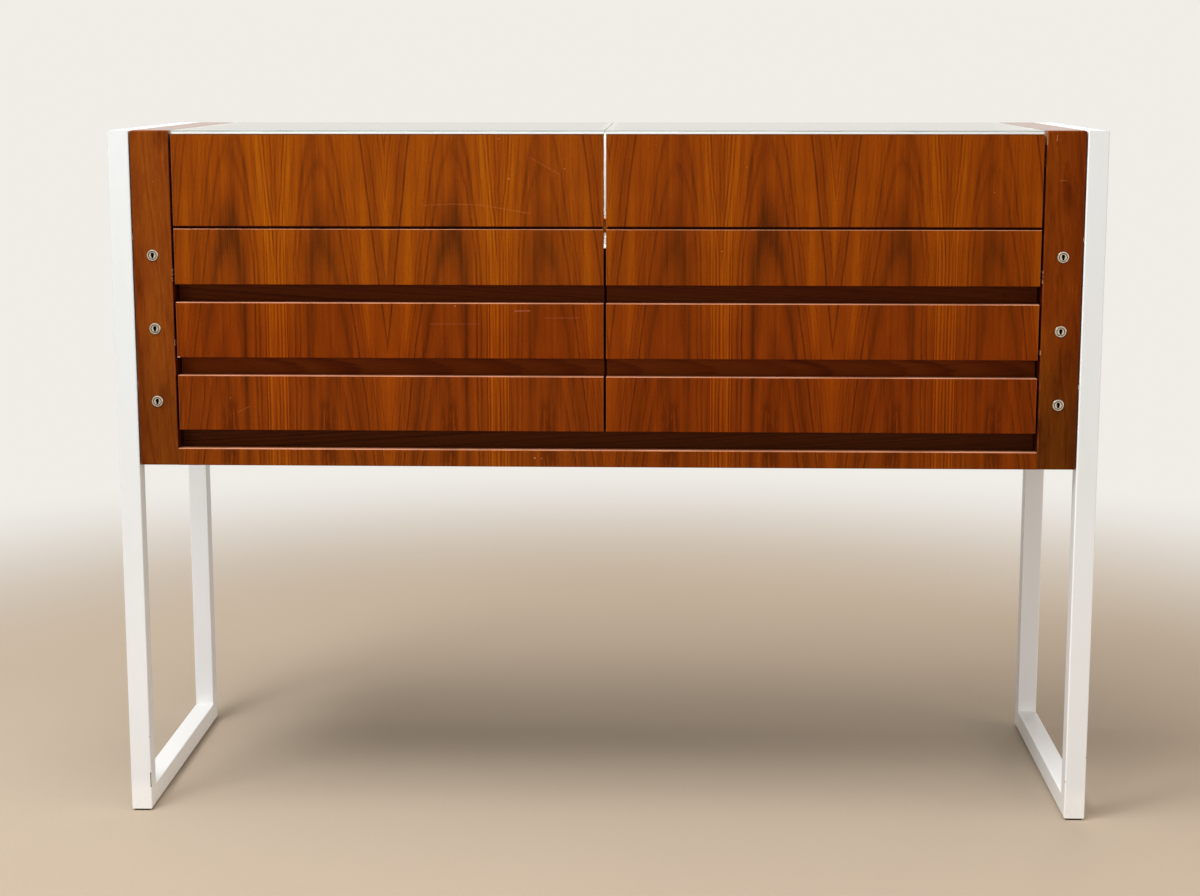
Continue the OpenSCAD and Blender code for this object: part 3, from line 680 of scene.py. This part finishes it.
def white_paint():
    """Satin white paint on steel, with chips and dusty feet, painted light low down, and a painted
    highlight on a corner.
    """
    s = Shader("white_satin_paint")
    cloud = s.noise(s.point, scale=3.0, detail=3.0)
    upper, lower = (s.mix(s.span(cloud, 0.3, 0.7), *pair) for pair in (UPPER_PAINT, LOWER_PAINT))
    # Painted light: lighter paint low down and on the sled rails
    colour = s.mix(s.span(s.z, 0.1, 0.8), lower, upper)
    colour = s.mix(s.span(s.z, 0.06, 0.03), colour, LIT_FOOT_PAINT)
    # Painted highlight on the right leg's inner corner
    corner = s.product(s.span(s.facing[0], -0.08, -0.30), s.span(s.facing[0], -0.99, -0.90))
    colour = s.mix(s.product(corner, s.span(s.x, 0.0, 0.1)), colour, CORNER_HIGHLIGHT)
    dust = s.span(s.noise(s.point, scale=90.0, detail=4.0, roughness=0.7), 0.5, 0.8)
    colour = s.mix(s.product(s.span(s.z, 0.05, 0.0), dust, 0.35), colour, FOOT_DIRT)
    colour = paint_chipped(s, colour)
    normal = s.bump(s.noise(s.point, scale=420.0), PAINT_SKIN)
    roughness = s.span(cloud, 0.2, 0.8, 0.34, 0.42, smooth=False)
    return s.finish(s.surface(Base_Color=colour, Roughness=roughness, Normal=normal))


def laminate(name, foot=0.0):
    """White satin laminate down to a level, and dark walnut under it, which also paints the shade low in
    the centre slit.
    """
    s = Shader(name)
    cloud = s.noise(s.point, scale=5.0, detail=3.0)
    white = s.mix(cloud, linear(251, 247, 239), linear(248, 243, 233))
    above = s.span(s.z, foot - 0.0008, foot)
    # Dark walnut under the level, which also paints the shade low in the centre slit
    walnut = walnut_colour(s, fibres(s, s.mm("z"), s.mm("y")), SHADED_INNER_WOOD)
    colour = s.mix(above, walnut, white)
    normal = s.bump(s.noise(s.point, scale=700.0), 0.00002)
    roughness = s.lerp(above, 0.75, 0.42)
    return s.finish(s.surface(Base_Color=colour, Roughness=roughness, Normal=normal,
                              Specular_IOR_Level=0.2))


def pane_glass():
    """Clear glass whose polished edges show its pale green depth. It lets the lamps through."""
    s = Shader("clear_glass")
    flat = s.span(s.size(s.facing[2]), 0.35, 0.9)
    streak = s.noise(s.scaled((s.x, 14.0), 0.0, (s.z, 400.0)), detail=3.0)
    green = s.mix(s.span(streak, 0.3, 0.7), linear(130, 168, 166), linear(192, 217, 216))
    upper_edge = s.span(s.z, GLASS_TOP - 0.0021, GLASS_TOP - 0.0012)
    edge = s.mix(upper_edge, linear(241, 243, 244), green)
    # Chipped corners and painted shade where the glass ends meet the caps
    chip_and_shade_at_stile = s.span(s.size(s.x), GLASS_END - 0.006, GLASS_END - 0.002)
    edge = s.mix(chip_and_shade_at_stile, edge, linear(120, 100, 84))
    colour = s.mix(flat, edge, (0.97, 0.99, 0.985, 1.0))
    roughness = s.lerp(flat, 0.22, 0.015)
    clearness = s.lerp(flat, 0.25, 1.0)
    solid = s.surface(Base_Color=colour, Roughness=roughness, IOR=1.5, Transmission_Weight=clearness)
    clear = s.node("ShaderNodeBsdfTransparent", {"Color": (0.955, 0.97, 0.965, 1.0)}).outputs[0]
    shadow = s.node("ShaderNodeLightPath", {}).outputs["Is Shadow Ray"]
    return s.finish(s.node("ShaderNodeMixShader", {0: shadow, 1: solid, 2: clear}).outputs[0])


# Lock radii, in millimetres, between which the rosette, the groove, and the dark patina and painted shade
# round the keyhole set in or end
PLUG_EDGE = (6.3, 6.8)
GROOVE_INNER = (5.1, 5.5)
GROOVE_OUTER = (6.7, 6.3)
KEYHOLE_PATINA_AND_SHADE = (3.4, 2.2)


def nickel():
    """Worn nickel plate of the locks: bright rosette, duller plug, dark groove and painted shade in the
    hollows.
    """
    s = Shader("worn_nickel")
    wear = s.noise(s.point, scale=900.0, detail=4.0, roughness=0.65)
    cloud = s.noise(s.point, scale=120.0)
    radius = s.near([(x * PER_MM, z * PER_MM, x * PER_MM, z * PER_MM) for x, _, z in LOCKS])
    rubbed = s.span(wear, 0.35, 0.65)
    rosette = s.mix(rubbed, linear(184, 168, 150), linear(224, 212, 197))
    plug = s.mix(rubbed, linear(186, 170, 148), linear(226, 211, 190))
    colour = s.mix(s.span(radius, *PLUG_EDGE), plug, rosette)
    # Dark patina round the keyhole, which also paints its shade wider
    colour = s.mix(s.span(radius, *KEYHOLE_PATINA_AND_SHADE, 0.0, 0.75), colour, linear(62, 50, 40))
    groove = s.product(s.span(radius, *GROOVE_INNER), s.span(radius, *GROOVE_OUTER))
    colour = s.mix(groove, colour, linear(54, 44, 36))
    # Painted shade on the faces turned to the lower right
    shaded = s.vectors("DOT_PRODUCT", s.vector(*s.facing), (0.5, 0.0, -0.85))
    colour = s.mix(s.span(shaded, 0.03, 0.4, 0.0, 0.75), colour, linear(84, 70, 55))
    colour = s.mix(s.span(cloud, 0.5, 0.75, 0.0, 0.4), colour, linear(112, 96, 76))
    # Painted shade deep in the groove and in the keyhole
    in_groove = s.span(s.y, STILE_FACE - 0.0011, STILE_FACE - 0.0006)
    in_keyhole = s.span(s.y, STILE_FACE, STILE_FACE + 0.0010)
    behind_stile = s.span(s.y, STILE_FACE + 0.030, STILE_FACE + 0.032)
    colour = s.mix(in_groove, colour, linear(14, 12, 10))
    colour = s.mix(in_keyhole, colour, linear(9, 8, 7))
    colour = s.mix(behind_stile, colour, rosette)
    roughness = s.span(wear, 0.3, 0.7, 0.24, 0.40, smooth=False)
    normal = s.bump(wear, 0.00002)
    return s.finish(s.surface(Base_Color=colour, Metallic=1.0, Roughness=roughness, Normal=normal))


def zinc():
    """Rolled zinc-plated steel of the runners and bolts, with drawn lines along it."""
    s = Shader("zinc_plate")
    drawn = s.noise(s.scaled((s.x, 900.0), (s.y, 9.0), (s.z, 900.0)), detail=3.0)
    spangle = s.specks(s.point, 160.0)
    colour = s.mix(drawn, linear(176, 180, 184), linear(204, 207, 210))
    colour = s.mix(s.span(spangle, 0.2, 0.9, 0.0, 0.3), colour, linear(158, 164, 176))
    roughness = s.span(drawn, 0.3, 0.7, 0.26, 0.40, smooth=False)
    normal = s.bump(drawn, 0.00002)
    return s.finish(s.surface(Base_Color=colour, Metallic=1.0, Roughness=roughness, Normal=normal))


def pad_rubber():
    """Matt black floor pads."""
    s = Shader("black_pad")
    grain = s.noise(s.point, scale=800.0, detail=3.0)
    colour = s.mix(grain, linear(12, 11, 10), linear(28, 26, 24))
    normal = s.bump(grain, 0.0001)
    return s.finish(s.surface(Base_Color=colour, Roughness=0.95, Normal=normal, Specular_IOR_Level=0.2))


def felt():
    """Charcoal felt of the drawer linings."""
    s = Shader("lining_felt")
    fluff = s.noise(s.point, scale=520.0, detail=5.0, roughness=0.75)
    cloud = s.noise(s.point, scale=14.0, detail=3.0)
    colour = s.mix(s.span(fluff, 0.3, 0.7), linear(40, 38, 38), linear(74, 71, 69))
    colour = s.mix(s.span(cloud, 0.3, 0.8, 0.0, 0.3), colour, linear(88, 82, 78))
    normal = s.bump(fluff, 0.0006)
    return s.finish(s.surface(Base_Color=colour, Roughness=0.95, Normal=normal, Sheen_Weight=0.35))


# Finishes of the model's own nodes

# Tubes of a frame, stiles as (side, stops, middle of the rings in millimetres), and brightness of the
# drawer boxes by row, which paints the light and shade in the recesses where they show
TUBES = ("front_leg", "rear_leg", "sled_rail", "top_rail")
STILES = (("left", LEFT_STILE_WOOD, -760.0), ("right", RIGHT_STILE_WOOD, 600.0))
PAINTED_BOX_LIGHT = {"upper": 0.97, "middle": 0.97, "lower": 1.24}


def paint_nodes(material, names):
    """Gives the named nodes one material."""
    for name in names:
        for slot in nodes[name].material_slots:
            slot.material = material


def of_drawers(part):
    """Node names of one part in all drawers."""
    return [f"{drawer}_{part}" for drawer in DRAWERS]


def paint_case():
    """Finishes of the case, the tube frames and the glass."""
    paint_nodes(white_paint(), [f"{side}_{tube}" for side in SIDES for tube in TUBES])
    paint_nodes(front_veneer(), ["left_fascia", "right_fascia", "base_rail"] + of_drawers("front"))
    for side, stops, centre in STILES:
        paint_nodes(stile_wood(side, stops, centre), [f"{side}_stile"])
    sides = panel_wood("case_side_walnut", "y", 40.0, spacing=15.0, seed=3.0)
    paint_nodes(sides, ["left_outer_side", "right_outer_side"])
    paint_nodes(cap_wood(), ["side_caps"])
    paint_nodes(panel_wood("case_back_walnut", "x", 120.0, spacing=17.0, seed=7.0), ["back_panel"])
    recess = strip_wood("recess_rail_walnut", dimmed(STRIP_WOOD, 0.87, 1.0, 1.8), 23.0)
    paint_nodes(recess, ["recess_rail"])
    paint_nodes(fascia_rail_wood(), ["fascia_rail"])
    # Painted shade: the inner sides and the bottom are very dark where they show
    inner = wood("inner_walnut", "z", "y", SHADED_INNER_WOOD, 800.0, seed=13.0)
    paint_nodes(inner, ["left_inner_side", "right_inner_side", "bottom_panel"])
    paint_nodes(laminate("white_laminate"), ["glass_ledges"])
    paint_nodes(laminate("partition_laminate", BOX_TOP), ["centre_partition"])
    paint_nodes(pane_glass(), ["left_glass", "right_glass"])
    paint_nodes(pad_rubber(), ["floor_pads"])


def paint_drawers_and_hardware():
    """Finishes of the drawers behind their fronts, the runners, bolts and locks."""
    for row, share in PAINTED_BOX_LIGHT.items():
        # Each row's boxes are made lighter or darker to paint the light in its recess
        box = strip_wood(f"{row}_box_walnut", dimmed(STRIP_WOOD, share, 1.05 * share, share), 11.0)
        paint_nodes(box, [f"{row}_{side}_box" for side in SIDES])
    birch = wood("birch_bottom", "y", "x", BIRCH_WOOD, 0.0, spacing=16.0, seed=17.0, rough=0.5)
    paint_nodes(birch, of_drawers("bottom"))
    paint_nodes(zinc(), ["frame_bolts", "case_runners"] + of_drawers("runners"))
    paint_nodes(nickel(), ["lock_barrels"] + of_drawers("lock"))


paint_case()
paint_drawers_and_hardware()


# Pieces that the model leaves to this script, in metres

# Clearance round a lining, and the edges of the drawer bottom that the grooves and the box back hide
LINING_GAP = 0.0008
GROOVE = 0.0048
BOX_BACK = 0.012

# Thickness and mesh size of a lining, the height and fineness of its waves, and the lift of its corners
LINING_T = 0.0018
LINING_CELL = 0.012
LINING_WAVE = 0.00035
WAVES_ACROSS = 9
WAVES_ALONG = 7
WAVES_BY_LEVEL = 40
LINING_CURL = 0.0012
CURL_POWER = 12


def new_piece(name, shape, material, body):
    """Object made of a bmesh, riding on a body."""
    mesh = bpy.data.meshes.new(name)
    shape.to_mesh(mesh)
    shape.free()
    mesh.materials.append(material)
    piece = bpy.data.objects.new(name, mesh)
    bpy.context.scene.collection.objects.link(piece)
    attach(piece, body)
    return piece


def add_lining(drawer, material):
    """Felt laid on a drawer bottom, slightly uneven and lifted at its corners."""
    low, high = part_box(f"{drawer}_bottom")
    left, right = low.x + GROOVE + LINING_GAP, high.x - GROOVE - LINING_GAP
    front, back = low.y + GROOVE + LINING_GAP, high.y - BOX_BACK - LINING_GAP
    width, length = right - left, back - front
    centre = Vector(((left + right) / 2, (front + back) / 2, high.z))
    shape = bmesh.new()
    columns, rows = round(width / LINING_CELL), round(length / LINING_CELL)
    bmesh.ops.create_grid(shape, x_segments=columns, y_segments=rows, size=0.5)
    for vert in shape.verts:
        across, along = 2 * abs(vert.co.x), 2 * abs(vert.co.y)
        curl = LINING_CURL * (across * along) ** CURL_POWER
        wave_at = Vector((vert.co.x * WAVES_ACROSS, vert.co.y * WAVES_ALONG, centre.z * WAVES_BY_LEVEL))
        lift = LINING_WAVE * (1 + noise.noise(wave_at)) + curl
        vert.co = Vector((vert.co.x * width, vert.co.y * length, lift)) + centre
    raised = bmesh.ops.extrude_face_region(shape, geom=shape.faces[:])["geom"]
    for vert in (item for item in raised if isinstance(item, bmesh.types.BMVert)):
        vert.co.z += LINING_T
    bmesh.ops.recalc_face_normals(shape, faces=shape.faces[:])
    for face in shape.faces:
        face.smooth = abs(face.normal.z) > 0.5
    lining = new_piece(f"{drawer}_lining", shape, material, drawer)


# Head of a back screw: rim radius, rise, depth below the panel and the buried end's share of the rim
SCREW_RIM = 0.0040
SCREW_RISE = 0.0008
SCREW_SUNK = 0.0010
SCREW_END = 0.6

# Its cross recess, and the fineness of its mesh
CROSS_HALF = 0.00055
CROSS_REACH = 0.0023
CROSS_DEPTH = 0.0012
SCREW_RINGS = 7
SCREW_SEGMENTS = 48


def screw_ring(shape, radius):
    """One ring of a domed head's points, sunk where the cross recess is."""
    verts = []
    for step in range(SCREW_SEGMENTS):
        turn = 2 * math.pi * step / SCREW_SEGMENTS
        x, z = radius * math.cos(turn), radius * math.sin(turn)
        height = SCREW_RISE * (1 - (radius / SCREW_RIM) ** 2)
        cross = min(abs(x), abs(z)) < CROSS_HALF and radius < CROSS_REACH
        verts.append(shape.verts.new((x, height - (CROSS_DEPTH if cross else 0.0), z)))
    return verts


def screw_head():
    """Raised countersunk head with a cross recess, its axis along +Y and its rim at the origin."""
    shape = bmesh.new()
    radii = [SCREW_RIM * (ring + 0.5) / (SCREW_RINGS - 0.5) for ring in range(SCREW_RINGS)]
    rings = [screw_ring(shape, radius) for radius in radii]
    buried = [(vert.co.x * SCREW_END, -SCREW_SUNK, vert.co.z * SCREW_END) for vert in rings[-1]]
    rings.append([shape.verts.new(place) for place in buried])
    for inner, outer in zip(rings, rings[1:]):
        for step in range(SCREW_SEGMENTS):
            after = (step + 1) % SCREW_SEGMENTS
            shape.faces.new((inner[step], inner[after], outer[after], outer[step]))
    shape.faces.new(rings[0])
    shape.faces.new(list(reversed(rings[-1])))
    bmesh.ops.recalc_face_normals(shape, faces=shape.faces[:])
    mesh = bpy.data.meshes.new("screw_head")
    shape.to_mesh(mesh)
    shape.free()
    return mesh


# Back screws: inset from the panel's sides, its foot and the caps, first step up from the foot, inset of
# the foot row's ends, number along the foot and up each side, and turn from one to the next in radians
SIDE_INSET = 0.006
FOOT_INSET = 0.009
TOP_INSET = 0.020
FIRST_STEP = 0.06
ROW_END_INSET = 0.07
FOOT_SCREWS = 7
SIDE_SCREWS = 4
SCREW_TURN = 0.7


def back_screw_places():
    """Places of the screws along the foot and the sides of the back panel."""
    low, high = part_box("back_panel")
    low_z, high_z = low.z + FOOT_INSET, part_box("side_caps")[0].z - TOP_INSET
    places = []
    for column in range(FOOT_SCREWS):
        x = (high.x - ROW_END_INSET) * (2 * column / (FOOT_SCREWS - 1) - 1)
        places.append(Vector((x, high.y, low_z)))
    for level in range(SIDE_SCREWS):
        z = low_z + FIRST_STEP + (high_z - low_z - FIRST_STEP) * level / (SIDE_SCREWS - 1)
        places += [Vector((x, high.y, z)) for x in (low.x + SIDE_INSET, high.x - SIDE_INSET)]
    return places


def add_back_screws(material):
    """Screws that hold the back panel, each turned its own way."""
    head = screw_head()
    shape = bmesh.new()
    for index, place in enumerate(back_screw_places()):
        before = len(shape.verts)
        shape.from_mesh(head)
        shape.verts.ensure_lookup_table()
        turned = Matrix.Translation(place) @ Matrix.Rotation(SCREW_TURN * index, 4, "Y")
        for vert in shape.verts[before:]:
            vert.co = turned @ vert.co
    new_piece("back_screws", shape, material, "case")


felt_material = felt()
for drawer in DRAWERS:
    add_lining(drawer, felt_material)
add_back_screws(zinc())


# Camera, light and floor

# Light of the surroundings, and the backdrop into which the floor fades, in metres from the middle, with
# the rays that see it
SOFT_LIGHT = (1.0, 0.94, 0.86, 1.0)
SOFT_STRENGTH = 0.40
BACKDROP = linear(240, 237, 231)
FLOOR_RADIUS = 14.0
FLOOR_SEGMENTS = 96
FLOOR_FADE = (1.25, 2.9)
SEEN_RAYS = ("Is Camera Ray", "Is Glossy Ray", "Is Transmission Ray")

# Lamps: name, place and target in metres, power in watts, side in metres, colour, and whether gloss
# and glass mirror them
LAMPS = (
    ("key", (-1.6, -1.75, 3.3), (0.0, 0.0, 0.5), 37.0, 0.9, (0.97, 0.985, 1.0), True),
    ("fill", (-2.0, -4.1, 1.3), (0.0, 0.0, 0.5), 31.0, 2.2, (0.99, 0.99, 1.0), False),
    ("front", (0.1, -4.4, 1.3), (0.0, 0.0, 0.7), 9.0, 0.7, (1.0, 1.0, 1.0), True),
    ("ceiling", (-0.9, -1.1, 4.4), (0.0, 0.0, 0.0), 155.0, 3.0, (1.0, 0.985, 0.965), False),
    ("bounce", (3.4, -0.9, 0.8), (0.0, 0.0, 0.5), 32.0, 2.0, (1.0, 0.84, 0.70), True),
    ("rear", (1.0, 3.2, 2.6), (0.0, 0.0, 0.6), 26.0, 2.0, (1.0, 1.0, 1.0), False),
)


def add_camera():
    """Camera at the photograph's place, turned by its yaw, pitch and roll."""
    yaw, pitch, roll = (math.radians(angle) for angle in (CAMERA_YAW, CAMERA_PITCH, CAMERA_ROLL))
    forward = Vector((math.sin(yaw) * math.cos(pitch), math.cos(yaw) * math.cos(pitch), math.sin(pitch)))
    level = Vector((math.cos(yaw), -math.sin(yaw), 0.0))
    upright = level.cross(forward)
    right = level * math.cos(roll) + upright * math.sin(roll)
    up = upright * math.cos(roll) - level * math.sin(roll)
    camera = bpy.data.objects.new("camera", bpy.data.cameras.new("camera"))
    camera.data.lens = CAMERA_LENS
    camera.data.sensor_width = SENSOR_WIDTH
    turned = Matrix((right, up, -forward)).transposed().to_4x4()
    camera.matrix_world = Matrix.Translation(CAMERA_PLACE) @ turned
    bpy.context.scene.collection.objects.link(camera)
    bpy.context.scene.camera = camera


def add_lamp(name, place, target, power, side, colour, mirrored):
    """Square soft lamp that faces a point."""
    lamp = bpy.data.lights.new(name, "AREA")
    lamp.energy = power
    lamp.size = side
    lamp.color = colour
    thing = bpy.data.objects.new(name, lamp)
    thing.location = place
    thing.visible_camera = False
    thing.visible_glossy = mirrored
    thing.rotation_euler = (Vector(target) - Vector(place)).to_track_quat("-Z", "Y").to_euler()
    bpy.context.scene.collection.objects.link(thing)


def add_world():
    """Pale surroundings: soft warm light, shown as the backdrop to the camera, gloss and glass."""
    world = bpy.data.worlds.new("pale_surroundings")
    bpy.context.scene.world = world
    world.use_nodes = True
    tree = world.node_tree
    tree.nodes.clear()
    path = tree.nodes.new("ShaderNodeLightPath")
    seen = path.outputs[SEEN_RAYS[0]]
    for ray in SEEN_RAYS[1:]:
        either = tree.nodes.new("ShaderNodeMath")
        either.operation = "MAXIMUM"
        tree.links.new(seen, either.inputs[0])
        tree.links.new(path.outputs[ray], either.inputs[1])
        seen = either.outputs[0]
    mix = tree.nodes.new("ShaderNodeMixShader")
    tree.links.new(seen, mix.inputs[0])
    for place, colour, strength in ((1, SOFT_LIGHT, SOFT_STRENGTH), (2, BACKDROP, 1.0)):
        glow = tree.nodes.new("ShaderNodeBackground")
        glow.inputs["Color"].default_value = colour
        glow.inputs["Strength"].default_value = strength
        tree.links.new(glow.outputs[0], mix.inputs[place])
    output = tree.nodes.new("ShaderNodeOutputWorld")
    tree.links.new(mix.outputs[0], output.inputs["Surface"])


def floor_material():
    """Plain pale floor with a faint tooth, which fades into the backdrop."""
    s = Shader("pale_floor")
    cloud = s.noise(s.point, scale=1.3, detail=4.0)
    colour = s.mix(cloud, linear(188, 173, 155), linear(181, 165, 147))
    normal = s.bump(s.noise(s.point, scale=260.0, detail=3.0), 0.0006)
    near = s.surface(Base_Color=colour, Roughness=0.85, Normal=normal, Specular_IOR_Level=0.2)
    path = s.node("ShaderNodeLightPath", {}).outputs
    seen = path[SEEN_RAYS[0]]
    for ray in SEEN_RAYS[1:]:
        seen = s.math("MAXIMUM", seen, path[ray])
    far = s.product(s.span(s.vectors("LENGTH", s.point), *FLOOR_FADE), seen)
    pale = s.node("ShaderNodeEmission", {"Color": BACKDROP, "Strength": 1.0}).outputs[0]
    return s.finish(s.node("ShaderNodeMixShader", {0: far, 1: near, 2: pale}).outputs[0])


def add_floor():
    """Round pale floor under the pads."""
    mesh = bpy.data.meshes.new("floor")
    shape = bmesh.new()
    bmesh.ops.create_circle(shape, cap_ends=True, radius=FLOOR_RADIUS, segments=FLOOR_SEGMENTS)
    shape.to_mesh(mesh)
    shape.free()
    floor = bpy.data.objects.new("floor", mesh)
    mesh.materials.append(floor_material())
    bpy.context.scene.collection.objects.link(floor)


add_camera()
add_world()
add_floor()
for lamp_settings in LAMPS:
    add_lamp(*lamp_settings)
bpy.context.scene.view_settings.view_transform = "Standard"
